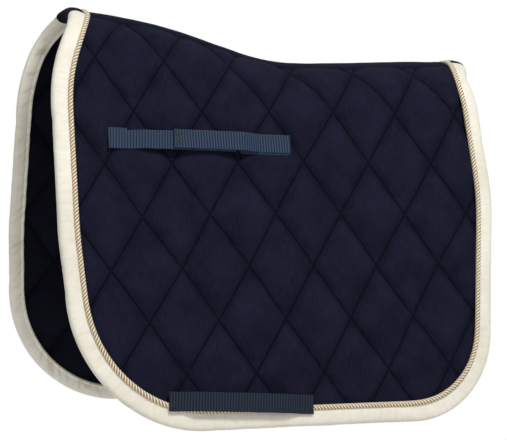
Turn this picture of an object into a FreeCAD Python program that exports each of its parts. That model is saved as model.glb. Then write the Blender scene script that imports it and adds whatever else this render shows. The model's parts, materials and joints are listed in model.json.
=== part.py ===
"""Contoured dressage saddle pad: two quilted panels joined along the horse's spine, with a padded
binding round every edge, a twisted piping beside it, billet keepers and girth keepers.

Frame: the origin is on the spine's underside at the lowest point of its dip, where the saddle sits.
+X points to the horse's tail, -Y to the horse's left and +Z up. Lengths are in millimetres.
"""
import FreeCAD, Part
import math
import os

from FreeCAD import Vector

# Cross-section: each flap is a slanted plane that runs tangent into a round arch over the spine.
HALF_WIDTH = 81.6          # outer face of a flap from the centre plane, at the origin's height
SLANT = 0.221              # outward run of a flap for each millimetre down
FOLD_Z = -74.0             # height of the straight line where a flap folds
LOWEST_Z = -520.0          # below every edge of the pad

# Layers, as depths inward from the cover's outer face.
COVER = 1.2
FOAM = 7.5
LINING = 1.2
LAYER_GAP = 0.05
THICKNESS = COVER + FOAM + LINING + 2 * LAYER_GAP

# Edge binding, piping and spine tape.
BINDING_WIDTH = 22.0
BINDING_CLOTH = 2.0
PIPING = 5.8               # how far the piping stands off the cover
PIPING_WIDTH = 6.6
STRIP_HALF_WIDTH = 41.0    # quilt-cloth strip sewn over the spine seam
CAP_HALF_WIDTH = 30.0
TAPE_HALF_WIDTH = 14.0     # tape under the spine seam
TAPE_CLOTH = 1.0
TRIM_GAP = 0.1
SEAM_HALF_GAP = 0.3
FRONT_OF = -100.0          # edge pieces in front of this X are the front ones

# Fold between the top of the pad and a flap: a notch that opens inward from the fold's axis.
AXIS_OUT = 6.2             # the axis lies this far outside the cover, beyond the piping
FOLD_CLEARANCE = 0.2
HALF_NOTCH = math.radians(12.3)

# Webbing keepers.
WEBBING_WIDTH = 25.0
WEBBING = 1.3
PATCH = 0.9                # one half of the hook-and-loop fastener
PATCH_WIDTH = 20.0
PATCH_LENGTH = 84.0
BILLET_FRONT_X = -324.0
BILLET_DOWN = 25.6         # from the fold to the middle of the webbing's front end
BILLET_TILT = math.radians(1.9)
BILLET_LENGTH = 261.0
BILLET_FOLD = 23.0         # doubled front end
BILLET_BOW = 7.5           # clear height under the front tab
REAR_TAB_START = 89.0      # free end of the rear tab, from the keeper's front end
REAR_TAB_LANDING = 214.0   # where the rear tab comes down to its sewn end
ANCHOR_START = 184.0
FASTENER_GAP = 0.3
GIRTH_FRONT_X = -268.0
GIRTH_DOWN = 373.5
GIRTH_TILT = math.radians(3.9)
GIRTH_LENGTH = 204.0
GIRTH_END = 21.0
GIRTH_BOW = 13.0           # clear height in the middle, over the piping
GIRTH_SEAT = 6.3           # height of the sewn ends, over the piping
GIRTH_RAMP = 18.0
GIRTH_FOOT = 11.0          # width of the sewn foot, above the piping

# Side outline of the pad: corners of a polygon as X, Z and the radius that rounds each one.
OUTLINE = [
    (-291.0, 160.0, 0.0),
    (-397.0, 22.0, 238.0),
    (-400.0, -225.0, 554.0),
    (-385.0, -479.5, 183.0),
    (204.0, -485.5, 133.0),
    (244.0, -178.0, 344.0),
    (233.0, -8.0, 15.0),
    (249.0, 12.0, 6.0),
    (250.0, 160.0, 0.0),
]

# Height of the cover's outer face over the spine, as X and Z from the withers to the loins.
RIDGE = [
    (-420.0, 85.5),
    (-350.0, 77.5),
    (-215.0, 57.0),
    (-126.0, 31.0),
    (-60.0, 14.0),
    (0.0, 11.0),
    (60.0, 12.5),
    (130.0, 15.5),
    (280.0, 15.5),
]
STATIONS = 16
FRONT_X = -415.0
REAR_X = 275.0

STEEPNESS = math.sqrt(1 + SLANT ** 2)
ACROSS = Vector(0, 1, 0)
ridge_curve = Part.BSplineCurve()
ridge_curve.interpolate(Points=[Vector(x, 0, z) for x, z in RIDGE], Parameters=[x for x, _ in RIDGE])


def rounded_outline():
    """The side outline as one closed wire of tangent lines and arcs in the plane Y = 0."""
    corners = [Vector(x, 0, z) for x, z, _ in OUTLINE]
    starts = []
    ends = []
    middles = []
    for i, (_, _, radius) in enumerate(OUTLINE):
        here = corners[i]
        back = (corners[i - 1] - here).normalize()
        ahead = (corners[(i + 1) % len(corners)] - here).normalize()
        half_angle = back.getAngle(ahead) / 2
        starts.append(here + back * (radius / math.tan(half_angle)))
        ends.append(here + ahead * (radius / math.tan(half_angle)))
        middles.append(here + (back + ahead).normalize() * (radius / math.sin(half_angle) - radius))
    edges = []
    for i, (_, _, radius) in enumerate(OUTLINE):
        if radius > 0:
            edges.append(Part.Arc(starts[i], middles[i], ends[i]).toShape())
        edges.append(Part.LineSegment(ends[i], starts[(i + 1) % len(corners)]).toShape())
    return Part.Wire(edges)


def inside(inset):
    """Everything within the side outline, this far in from it, across the whole width."""
    wire = rounded_outline()
    if inset > 0:
        wire = wire.makeOffset2D(-inset)
    return Part.Face(wire).translated(ACROSS * -400).extrude(ACROSS * 800)


def edge_band(outer_inset, inner_inset):
    return inside(outer_inset).cut(inside(inner_inset))


def on_flap(x, down, depth):
    """A point on the left flap: down along it from the fold, and in from the cover's outer face."""
    y = -(HALF_WIDTH - SLANT * FOLD_Z) - down * SLANT / STEEPNESS + depth / STEEPNESS
    z = FOLD_Z - down / STEEPNESS - depth * SLANT / STEEPNESS
    return Vector(x, y, z)


def notch(depth):
    """Distance from the fold to a solid's end at this depth."""
    return FOLD_CLEARANCE + (depth + AXIS_OUT) * math.tan(HALF_NOTCH)


def arch_point(x, depth, angle):
    """A point on the arch over the spine, at this angle from the vertical towards the left."""
    ridge = ridge_curve.value(x).z
    radius = (HALF_WIDTH - SLANT * ridge) / (STEEPNESS - SLANT)
    reach = radius - depth
    return Vector(x, -reach * math.sin(angle), ridge - radius + reach * math.cos(angle))


def arch_angle(x, depth, offset):
    """The angle at which the arch at this depth is this far left of the centre plane."""
    reach = arch_point(x, depth, math.pi / 2)
    return math.asin(offset / -reach.y)


def arc_edge(x, depth, start, end):
    points = [arch_point(x, depth, angle) for angle in (start, (start + end) / 2, end)]
    return Part.Arc(*points).toShape()


def line_edge(start, end):
    return Part.LineSegment(start, end).toShape()


def stations():
    return [FRONT_X + (REAR_X - FRONT_X) * i / (STATIONS - 1) for i in range(STATIONS)]


def top_layer(outer, inner, centre_gap):
    """One layer of the pad's left half from beside the spine down to the fold, with no edges cut."""
    tangent = math.atan(1 / SLANT)
    sections = []
    for x in stations():
        start_out = arch_angle(x, outer, centre_gap)
        start_in = arch_angle(x, inner, centre_gap)
        low_out = on_flap(x, -notch(outer), outer)
        low_in = on_flap(x, -notch(inner), inner)
        sections.append(Part.Wire([
            line_edge(low_out, arch_point(x, outer, tangent)),
            arc_edge(x, outer, tangent, start_out),
            line_edge(arch_point(x, outer, start_out), arch_point(x, inner, start_in)),
            arc_edge(x, inner, start_in, tangent),
            line_edge(arch_point(x, inner, tangent), low_in),
            line_edge(low_in, low_out),
        ]))
    return Part.makeLoft(sections, True, False)


def spine_band(outer, inner, half_width):
    """A band over the spine, the same width each side of the centre plane, with no ends cut."""
    sections = []
    for x in stations():
        side_out = arch_angle(x, outer, half_width)
        side_in = arch_angle(x, inner, half_width)
        sections.append(Part.Wire([
            arc_edge(x, outer, side_out, -side_out),
            line_edge(arch_point(x, outer, -side_out), arch_point(x, inner, -side_in)),
            arc_edge(x, inner, -side_in, side_in),
            line_edge(arch_point(x, inner, side_in), arch_point(x, outer, side_out)),
        ]))
    return Part.makeLoft(sections, True, False)


def flap_layer(outer, inner):
    """One layer of the left flap from the fold down, with no edges cut."""
    corners = [
        on_flap(FRONT_X, notch(outer), outer),
        on_flap(FRONT_X, (FOLD_Z - LOWEST_Z) * STEEPNESS, outer),
        on_flap(FRONT_X, (FOLD_Z - LOWEST_Z) * STEEPNESS, inner),
        on_flap(FRONT_X, notch(inner), inner),
    ]
    return Part.Face(Part.makePolygon(corners + corners[:1])).extrude(Vector(REAR_X - FRONT_X, 0, 0))


def panel_layers():
    """Name of each layer of a panel, with its outer and inner depth."""
    foam_start = COVER + LAYER_GAP
    lining_start = foam_start + FOAM + LAYER_GAP
    return [
        ("cover", 0.0, COVER),
        ("foam", foam_start, foam_start + FOAM),
        ("lining", lining_start, THICKNESS),
    ]


def panels():
    """Cover, foam and lining of the left half, over the top and down the flap."""
    edge = inside(BINDING_CLOTH)
    parts = {}
    for name, outer, inner in panel_layers():
        parts["top_" + name] = top_layer(outer, inner, SEAM_HALF_GAP).common(edge)
        parts["flap_" + name] = flap_layer(outer, inner).common(edge)
    return parts


def front_and_rear(shape):
    """The two solids of a shape that lies at both ends of the pad, front one first."""
    return sorted(shape.Solids, key=lambda solid: solid.CenterOfMass.x)


def bindings():
    """Left edge binding, wrapped round the panel's edge on both faces."""
    band = edge_band(0.0, BINDING_WIDTH)
    wrapped = inside(BINDING_CLOTH)
    outer = -BINDING_CLOTH
    inner = THICKNESS + BINDING_CLOTH
    top = top_layer(outer, inner, CAP_HALF_WIDTH + SEAM_HALF_GAP).common(band)
    top = top.cut(top_layer(0.0, THICKNESS, 0.0).common(wrapped))
    flap = flap_layer(outer, inner).common(band)
    flap = flap.cut(flap_layer(0.0, THICKNESS).common(wrapped))
    front, rear = front_and_rear(top)
    return {"top_front_binding": front, "top_rear_binding": rear, "flap_binding": flap}


def pipings():
    """Left piping, on the cover along the binding's inner edge."""
    start = BINDING_WIDTH + TRIM_GAP
    band = edge_band(start, start + PIPING_WIDTH)
    top = top_layer(-PIPING, -TRIM_GAP, SEAM_HALF_GAP).common(band)
    flap = flap_layer(-PIPING, -TRIM_GAP).common(band)
    front, rear = front_and_rear(top)
    return {"top_front_piping": front, "top_rear_piping": rear, "flap_piping": flap}


def spine_tapes():
    """Strip over the spine seam, tape under it, and the caps over the bindings' top ends."""
    panel = spine_band(0.0, THICKNESS, CAP_HALF_WIDTH + 1).common(inside(BINDING_CLOTH))
    caps = spine_band(-BINDING_CLOTH, THICKNESS + BINDING_CLOTH, CAP_HALF_WIDTH)
    caps = caps.common(edge_band(0.0, BINDING_WIDTH)).cut(panel)
    front, rear = front_and_rear(caps)
    outer = spine_band(-TRIM_GAP - TAPE_CLOTH, -TRIM_GAP, STRIP_HALF_WIDTH)
    inner = spine_band(THICKNESS + TRIM_GAP, THICKNESS + TRIM_GAP + TAPE_CLOTH, TAPE_HALF_WIDTH)
    return {
        "spine_outer_tape": outer.common(inside(BINDING_WIDTH + PIPING_WIDTH + 3 * TRIM_GAP)),
        "spine_inner_tape": inner.common(inside(BINDING_WIDTH + TRIM_GAP)),
        "spine_front_cap": front,
        "spine_rear_cap": rear,
    }


def keeper_piece(outline, width, shift, front_x, down, tilt):
    """A profile of (along, out) points on the left flap, as wide as webbing across its length."""
    cos, sin = math.cos(tilt), math.sin(tilt)

    def place(along, across, out):
        return on_flap(front_x + along * cos - across * sin, down + along * sin + across * cos, -out)

    low = shift - width / 2
    points = [place(along, low, out) for along, out in outline]
    sweep = place(0, low + width, 0) - place(0, low, 0)
    return Part.Face(Part.makePolygon(points + points[:1])).extrude(sweep)


def billet_keeper():
    """Front tab, rear tab with its sewn anchor, and the two fastener patches between the tabs."""
    where = (BILLET_FRONT_X, BILLET_DOWN, BILLET_TILT)
    seat = TRIM_GAP
    bow = BILLET_BOW
    loop = bow + WEBBING + LAYER_GAP
    hook = loop + PATCH + FASTENER_GAP
    rear = hook + PATCH + LAYER_GAP
    ramp = BILLET_FOLD + 25
    front_end = REAR_TAB_START + PATCH_LENGTH + 4
    doubled = seat + 2 * WEBBING
    front_tab = [
        (0, seat), (BILLET_FOLD, seat), (BILLET_FOLD, doubled - WEBBING), (ramp, bow),
        (front_end, bow), (front_end, bow + WEBBING), (ramp, bow + WEBBING),
        (BILLET_FOLD, doubled), (0, doubled),
    ]
    anchor = [
        (ANCHOR_START, seat), (BILLET_LENGTH - 2, seat),
        (BILLET_LENGTH - 2, seat + WEBBING), (ANCHOR_START, seat + WEBBING),
    ]
    low = seat + WEBBING + FASTENER_GAP
    rear_tab = [
        (REAR_TAB_START, rear), (REAR_TAB_LANDING - 24, rear), (REAR_TAB_LANDING, low),
        (BILLET_LENGTH - 1, low), (BILLET_LENGTH - 1, low + WEBBING),
        (REAR_TAB_LANDING, low + WEBBING), (REAR_TAB_LANDING - 24, rear + WEBBING),
        (REAR_TAB_START, rear + WEBBING),
    ]

    def patch(height):
        start, end = REAR_TAB_START + 2, REAR_TAB_START + 2 + PATCH_LENGTH
        return [(start, height), (end, height), (end, height + PATCH), (start, height + PATCH)]

    return {
        "billet_front_tab": keeper_piece(front_tab, WEBBING_WIDTH, 0, *where),
        "billet_loop_patch": keeper_piece(patch(loop), PATCH_WIDTH, 0, *where),
        "billet_hook_patch": keeper_piece(patch(hook), PATCH_WIDTH, 0, *where),
        "billet_rear_tab": keeper_piece(rear_tab, WEBBING_WIDTH, 0, *where),
        "billet_anchor": keeper_piece(anchor, WEBBING_WIDTH, 0, *where),
    }


def girth_keeper():
    """A fixed loop of webbing over the piping, with a doubled and stitched foot at each end."""
    where = (GIRTH_FRONT_X, GIRTH_DOWN, GIRTH_TILT)
    seat, bow = GIRTH_SEAT, GIRTH_BOW
    inner_end = GIRTH_LENGTH - GIRTH_END
    lower = [
        (0, seat), (GIRTH_END, seat), (GIRTH_END + GIRTH_RAMP, bow),
        (inner_end - GIRTH_RAMP, bow), (inner_end, seat), (GIRTH_LENGTH, seat),
    ]
    upper = [(along, out + WEBBING) for along, out in reversed(lower)]
    loop = keeper_piece(lower + upper, WEBBING_WIDTH, 0, *where)
    shift = (GIRTH_FOOT - WEBBING_WIDTH) / 2
    for start, end in ((0, GIRTH_END), (inner_end, GIRTH_LENGTH)):
        foot = [(start, TRIM_GAP), (end, TRIM_GAP), (end, seat + WEBBING), (start, seat + WEBBING)]
        loop = loop.fuse(keeper_piece(foot, GIRTH_FOOT, shift, *where))
    return {"girth_keeper": loop.removeSplitter()}


def export(name, shape):
    solids = shape.Solids
    if not shape.isValid() or not solids:
        raise RuntimeError(name + " is not a valid solid")
    solid = solids[0] if len(solids) == 1 else Part.makeCompound(solids)
    solid.exportStep(os.path.join("parts", name + ".step"))
    box = solid.BoundBox
    print(f"{name:28s} solids {len(solids)}  volume {solid.Volume / 1000:9.2f} cm3"
          f"  size {box.XLength:6.1f} {box.YLength:6.1f} {box.ZLength:6.1f}")


def main():
    os.makedirs("parts", exist_ok=True)
    for name, shape in spine_tapes().items():
        export(name, shape)
    left_half = {**panels(), **bindings(), **pipings(), **billet_keeper(), **girth_keeper()}
    for name, shape in left_half.items():
        export("left_" + name, shape)
        export("right_" + name, shape.mirror(Vector(0, 0, 0), ACROSS))


main()
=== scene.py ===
"""Looks of the saddle pad: quilted panels, satin binding, twisted piping, tapes and webbing keepers."""

import json
import math

import bpy
import numpy as np
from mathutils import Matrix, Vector, noise
from mathutils.bvhtree import BVHTree


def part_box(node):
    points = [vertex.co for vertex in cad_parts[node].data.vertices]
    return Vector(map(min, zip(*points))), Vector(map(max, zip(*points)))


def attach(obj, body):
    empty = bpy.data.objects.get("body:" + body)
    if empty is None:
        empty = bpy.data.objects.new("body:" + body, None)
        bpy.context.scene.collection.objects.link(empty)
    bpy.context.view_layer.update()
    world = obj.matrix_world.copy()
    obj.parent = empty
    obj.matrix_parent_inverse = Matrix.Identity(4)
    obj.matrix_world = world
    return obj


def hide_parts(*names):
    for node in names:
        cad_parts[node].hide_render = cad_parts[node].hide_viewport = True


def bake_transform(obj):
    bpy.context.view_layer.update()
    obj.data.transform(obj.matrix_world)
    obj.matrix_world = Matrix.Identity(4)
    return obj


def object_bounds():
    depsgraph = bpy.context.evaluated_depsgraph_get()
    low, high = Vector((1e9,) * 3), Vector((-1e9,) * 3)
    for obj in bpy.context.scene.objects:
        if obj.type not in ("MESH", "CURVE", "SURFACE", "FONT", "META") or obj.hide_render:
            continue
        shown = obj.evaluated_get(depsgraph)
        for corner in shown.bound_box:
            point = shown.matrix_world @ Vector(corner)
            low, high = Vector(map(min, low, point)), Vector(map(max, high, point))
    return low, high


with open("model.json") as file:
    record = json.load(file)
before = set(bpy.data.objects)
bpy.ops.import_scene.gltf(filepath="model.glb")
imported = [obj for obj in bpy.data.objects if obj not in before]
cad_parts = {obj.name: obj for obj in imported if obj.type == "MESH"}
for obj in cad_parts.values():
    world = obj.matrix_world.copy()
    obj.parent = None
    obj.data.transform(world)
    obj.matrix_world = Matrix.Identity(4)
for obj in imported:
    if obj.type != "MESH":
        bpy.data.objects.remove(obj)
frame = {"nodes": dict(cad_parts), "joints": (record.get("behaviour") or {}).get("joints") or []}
cad_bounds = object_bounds()
MM = 0.001


# ---------------------------------------------------------------- shape, measured from the frame

def vertex_values(mesh, field="co"):
    values = np.empty(len(mesh.vertices) * 3)
    mesh.vertices.foreach_get(field, values)
    return values.reshape(-1, 3)


def node_points(name):
    return vertex_values(frame["nodes"][name].data)


def run_along(points):
    """Distance along a path to each of its points."""
    return np.concatenate([[0], np.cumsum(np.linalg.norm(np.diff(points, axis=0), axis=1))])


def resample(points, run, spots):
    """The path's points at other distances along it."""
    return np.stack([np.interp(spots, run, column) for column in np.asarray(points).T], 1)


def unit(vectors):
    return vectors / np.linalg.norm(vectors, axis=1)[:, None]


def smooth(values, sigma):
    """Gaussian smoothing along the first axis, sigma in samples, ends held."""
    reach = max(1, int(3 * sigma))
    weights = np.exp(-0.5 * (np.arange(-reach, reach + 1) / sigma) ** 2)
    weights /= weights.sum()
    values = np.asarray(values, float)
    flat = values.reshape(len(values), -1)
    before = 2 * flat[0] - flat[reach:0:-1]
    after = 2 * flat[-1] - flat[-2:-reach - 2:-1]
    padded = np.vstack([before, flat, after])
    out = [np.convolve(padded[:, k], weights, "valid") for k in range(flat.shape[1])]
    return np.stack(out, 1).reshape(values.shape)


def measure_flap():
    """Slope and half width of the left flap's outer face."""
    cover = node_points("left_flap_cover")
    low = cover[cover[:, 2] < cover[:, 2].min() + MM]
    high = cover[cover[:, 2] > cover[:, 2].max() - MM]
    low = low[low[:, 1].argmin()]
    high = high[high[:, 1].argmin()]
    slant = (high[1] - low[1]) / (high[2] - low[2])
    return slant, slant * high[2] - high[1]


SLANT, HALF_WIDTH = measure_flap()
STEEP = math.hypot(1, SLANT)
TANGENT = math.atan(1 / SLANT)


def depth_of(points):
    """How far points lie inside the plane of the left flap's outer face."""
    points = np.atleast_2d(points)
    return (points[:, 1] + HALF_WIDTH - SLANT * points[:, 2]) / STEEP


FOLD_AXIS = next(j["pos_m"] for j in frame["joints"] if j["name"] == "left_flap_fold")
FOLD_Z = FOLD_AXIS[2] + float(depth_of(FOLD_AXIS)[0]) * SLANT / STEEP
THICK = float(depth_of(node_points("left_flap_lining")).max())


def measure_ridge():
    """Height of the cover over the spine as two arrays, X and Z, smooth and run on past both ends."""
    mesh = frame["nodes"]["left_top_cover"].data
    surface = BVHTree.FromPolygons([v.co for v in mesh.vertices], [p.vertices for p in mesh.polygons])
    x = np.arange(-0.45, 0.33, 0.002)
    hits = [surface.ray_cast(Vector((v, -0.5 * MM, 1)), Vector((0, 0, -1)))[0] for v in x]
    known = np.array([hit is not None for hit in hits])
    z = np.interp(x, x[known], [hit.z for hit in hits if hit is not None])
    first, last = x[known][0] + 0.01, x[known][-1] - 0.01
    front_slope = (np.interp(first + 0.04, x, z) - np.interp(first, x, z)) / 0.04
    z = np.where(x < first, np.interp(first, x, z) + (x - first) * front_slope, z)
    z = np.where(x > last, np.interp(last, x, z), z)
    return x, smooth(z, 5)


RIDGE_X, RIDGE_Z = measure_ridge()


def arch(x):
    """Radius and centre height of the round arch over the spine, and how far up the fold it starts."""
    ridge = np.interp(x, RIDGE_X, RIDGE_Z)
    radius = (HALF_WIDTH - SLANT * ridge) / (STEEP - SLANT)
    centre = ridge - radius
    start = (centre + radius * SLANT / STEEP - FOLD_Z) * STEEP
    return radius, centre, start


def up_of(x, z):
    """Distance up the left half's outer face from the fold, for a point seen from the side."""
    radius, centre, start = arch(x)
    angle = np.arccos(np.clip((z - centre) / radius, -1, 1))
    flat = (z - FOLD_Z) * STEEP
    return np.where(flat < start, flat, start + radius * (TANGENT - angle))


def spine_up(x):
    radius, _, start = arch(x)
    return start + radius * TANGENT


def place(x, up, depth):
    """Points of the left half: up from the fold along the outer face, then in by depth."""
    x, up, depth = np.broadcast_arrays(*(np.asarray(v, float) for v in (x, up, depth)))
    radius, centre, start = arch(x)
    angle = TANGENT - (up - start) / radius
    flat_y = SLANT * FOLD_Z - HALF_WIDTH + up * SLANT / STEEP + depth / STEEP
    flat_z = FOLD_Z + up / STEEP - depth * SLANT / STEEP
    y = np.where(up < start, flat_y, -(radius - depth) * np.sin(angle))
    z = np.where(up < start, flat_z, centre + (radius - depth) * np.cos(angle))
    return np.stack([x, y, z], -1)


EDGE_NODES = ["left_flap_binding", "left_top_front_binding", "left_top_rear_binding",
              "spine_front_cap", "spine_rear_cap"]
OUTLINE_STEP = 3 * MM


def measure_outline():
    """The pad's side outline from the front of the spine round to its rear, evenly spaced X, Z points."""
    corners = []
    low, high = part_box("left_flap_binding")
    middle = np.array([(low.x + high.x) / 2, (low.z + high.z) / 2])
    for name in EDGE_NODES:
        mesh = frame["nodes"][name].data
        for face in mesh.polygons:
            centre = np.array([face.center.x, face.center.z]) - middle
            outward = centre[0] * face.normal.x + centre[1] * face.normal.z > 0
            crown = "cap" in name and face.normal.z > 0.9
            if abs(face.normal.y) < 0.02 and outward and not crown:
                corners += [(mesh.vertices[v].co.x, mesh.vertices[v].co.z) for v in face.vertices]
    corners = np.array(corners)
    around = np.arctan2(corners[:, 1] - middle[1], corners[:, 0] - middle[0])
    around = np.mod(around - math.pi / 2, 2 * math.pi)
    corners = corners[np.argsort(around)]
    keep = [corners[0]]
    for corner in corners:
        if np.hypot(*(corner - keep[-1])) > 0.6 * MM:
            keep.append(corner)
    keep = np.array(keep)
    run = run_along(keep)
    return smooth(resample(keep, run, np.linspace(0, run[-1], int(run[-1] / OUTLINE_STEP))), 2)


OUTLINE = measure_outline()


def inward_normals(path):
    along = unit(smooth(np.gradient(path, axis=0), 3))
    return np.stack([-along[:, 1], along[:, 0]], 1)


OUTLINE_IN = inward_normals(OUTLINE)


def edge_inset(x, z):
    """How far inside the outline points are, seen from the side."""
    found = np.empty(len(x))
    for start in range(0, len(x), 4000):
        part = slice(start, start + 4000)
        gap = np.stack([x[part], z[part]], 1)[:, None, :] - OUTLINE[None]
        nearest = (gap ** 2).sum(2).argmin(1)
        rows = np.arange(len(nearest))
        found[part] = (gap[rows, nearest] * OUTLINE_IN[nearest]).sum(1)
    return found


def inset_path(inset):
    """The outline moved in by inset, with its tight corners eased."""
    moved = OUTLINE + OUTLINE_IN * inset
    if inset > 8 * MM:
        moved = smooth(moved, 1 + inset / OUTLINE_STEP / 3)
    return moved


FINER = 30                                      # extra points between the outline's own


def edge_run(inset):
    """Outline index, X and distance up, at an inset, from the spine's front round to its rear."""
    path = inset_path(inset)
    index = np.linspace(0, len(path) - 1, (len(path) - 1) * FINER + 1)
    x, z = resample(path, np.arange(len(path)), index).T
    inside = np.flatnonzero(z < np.interp(x, RIDGE_X, RIDGE_Z) - 0.01 * MM)
    part = slice(inside[0], inside[-1] + 1)
    return index[part], x[part], up_of(x[part], z[part])


def up_to_spine(inset):
    """X and distance up along the edge at an inset, right up to the spine at both ends."""
    _, x, up = edge_run(inset)
    return (np.concatenate([x[:1], x, x[-1:]]),
            np.concatenate([[spine_up(x[0])], up, [spine_up(x[-1])]]))


def edge_x(inset, below_spine, front):
    """X of the front or rear edge at an inset, for distances down from the spine."""
    x, up = up_to_spine(inset)
    middle = len(x) // 2
    x, up = (x[:middle], up[:middle]) if front else (x[middle:][::-1], up[middle:][::-1])
    return np.interp(below_spine, spine_up(x) - up, x)


# ---------------------------------------------------------------- meshes

def noise_at(x, y, z):
    """Smooth noise at points given by their coordinates."""
    points = np.stack(np.broadcast_arrays(x, y, z), -1).reshape(-1, 3)
    return np.array([noise.noise(Vector(point)) for point in points])


def make_object(name, vertices, faces, materials, uvs=None):
    """A mesh object. uvs holds one (u, v) in metres for each vertex, for its weave."""
    mesh = bpy.data.meshes.new(name)
    mesh.from_pydata([tuple(v) for v in vertices], [], [tuple(f) for f in faces])
    mesh.validate()
    mesh.polygons.foreach_set("use_smooth", [True] * len(mesh.polygons))
    for material in materials:
        mesh.materials.append(material)
    made = bpy.data.objects.new(name, mesh)
    bpy.context.scene.collection.objects.link(made)
    if uvs is not None:
        add_uvs(made, "weave", uvs)
    return made


def add_uvs(obj, name, uvs):
    """Another named UV map with one (u, v) for each vertex."""
    layer = obj.data.uv_layers.new(name=name)
    loops = np.empty(len(obj.data.loops), int)
    obj.data.loops.foreach_get("vertex_index", loops)
    layer.data.foreach_set("uv", np.asarray(uvs, np.float32)[loops].ravel())


def set_coordinates(obj, co):
    obj.data.vertices.foreach_set("co", np.asarray(co, np.float32).ravel())
    obj.data.update()


def mirrored(obj):
    """The right half's copy of a left piece."""
    twin = bpy.data.objects.new(obj.name.replace("left", "right"), obj.data.copy())
    bpy.context.scene.collection.objects.link(twin)
    co = vertex_values(twin.data)
    co[:, 1] *= -1
    set_coordinates(twin, co)
    twin.data.flip_normals()
    return twin


def apply_modifiers(obj):
    graph = bpy.context.evaluated_depsgraph_get()
    finished = bpy.data.meshes.new_from_object(obj.evaluated_get(graph))
    finished.name = obj.data.name
    obj.modifiers.clear()
    obj.data = finished


def subdivide(obj, levels=1):
    modifier = obj.modifiers.new("finer", "SUBSURF")
    modifier.levels = modifier.render_levels = levels
    modifier.uv_smooth = "PRESERVE_BOUNDARIES"
    apply_modifiers(obj)


def tube_faces(rings, sides, start=0):
    """Quads of a tube of rings of vertices, and its end caps, from vertex number start."""
    faces = []
    for a in range(start, start + (rings - 1) * sides, sides):
        b = a + sides
        faces += [(a + k, a + (k + 1) % sides, b + (k + 1) % sides, b + k) for k in range(sides)]
    end = start + rings * sides
    return faces + [tuple(range(start, start + sides))[::-1], tuple(range(end - sides, end))]


CLOTH_FRAMES = 20


def inflate(obj, pinned, pressure, shrink, stiffness, bending, cap):
    """Cloth simulation with pressure and no gravity. No point moves further than cap."""
    before = vertex_values(obj.data)
    group = obj.vertex_groups.new(name="pinned")
    group.add([int(v) for v in np.flatnonzero(pinned)], 1.0, "REPLACE")
    cloth = obj.modifiers.new("cloth", "CLOTH")
    settings = cloth.settings
    settings.vertex_group_mass = "pinned"
    settings.quality = 5
    settings.mass = 0.3
    settings.tension_stiffness = settings.compression_stiffness = stiffness
    settings.shear_stiffness = stiffness / 3
    settings.bending_stiffness = bending
    settings.use_pressure = True
    settings.uniform_pressure_force = pressure
    settings.shrink_min = shrink
    settings.effector_weights.gravity = 0
    cloth.point_cache.frame_start = 1
    cloth.point_cache.frame_end = CLOTH_FRAMES
    for number in range(1, CLOTH_FRAMES + 1):
        bpy.context.scene.frame_set(number)
    graph = bpy.context.evaluated_depsgraph_get()
    move = vertex_values(obj.evaluated_get(graph).data) - before
    length = np.linalg.norm(move, axis=1)
    move *= (cap * np.tanh(length / cap) / np.maximum(length, 1e-9))[:, None]
    obj.modifiers.clear()
    obj.vertex_groups.clear()
    bpy.context.scene.frame_set(1)
    set_coordinates(obj, before + move)


# ---------------------------------------------------------------- materials

def wire(tree, node, inputs):
    """Sets a node's inputs, each to a value or to another node's output."""
    for key, value in inputs.items():
        if isinstance(value, (int, float, tuple)):
            node.inputs[key].default_value = value
        else:
            tree.links.new(value, node.inputs[key])


def add_node(tree, kind, inputs, **settings):
    """A new node with its settings and inputs."""
    made = tree.nodes.new("ShaderNode" + kind)
    for key, value in settings.items():
        setattr(made, key, value)
    wire(tree, made, inputs)
    return made


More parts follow.
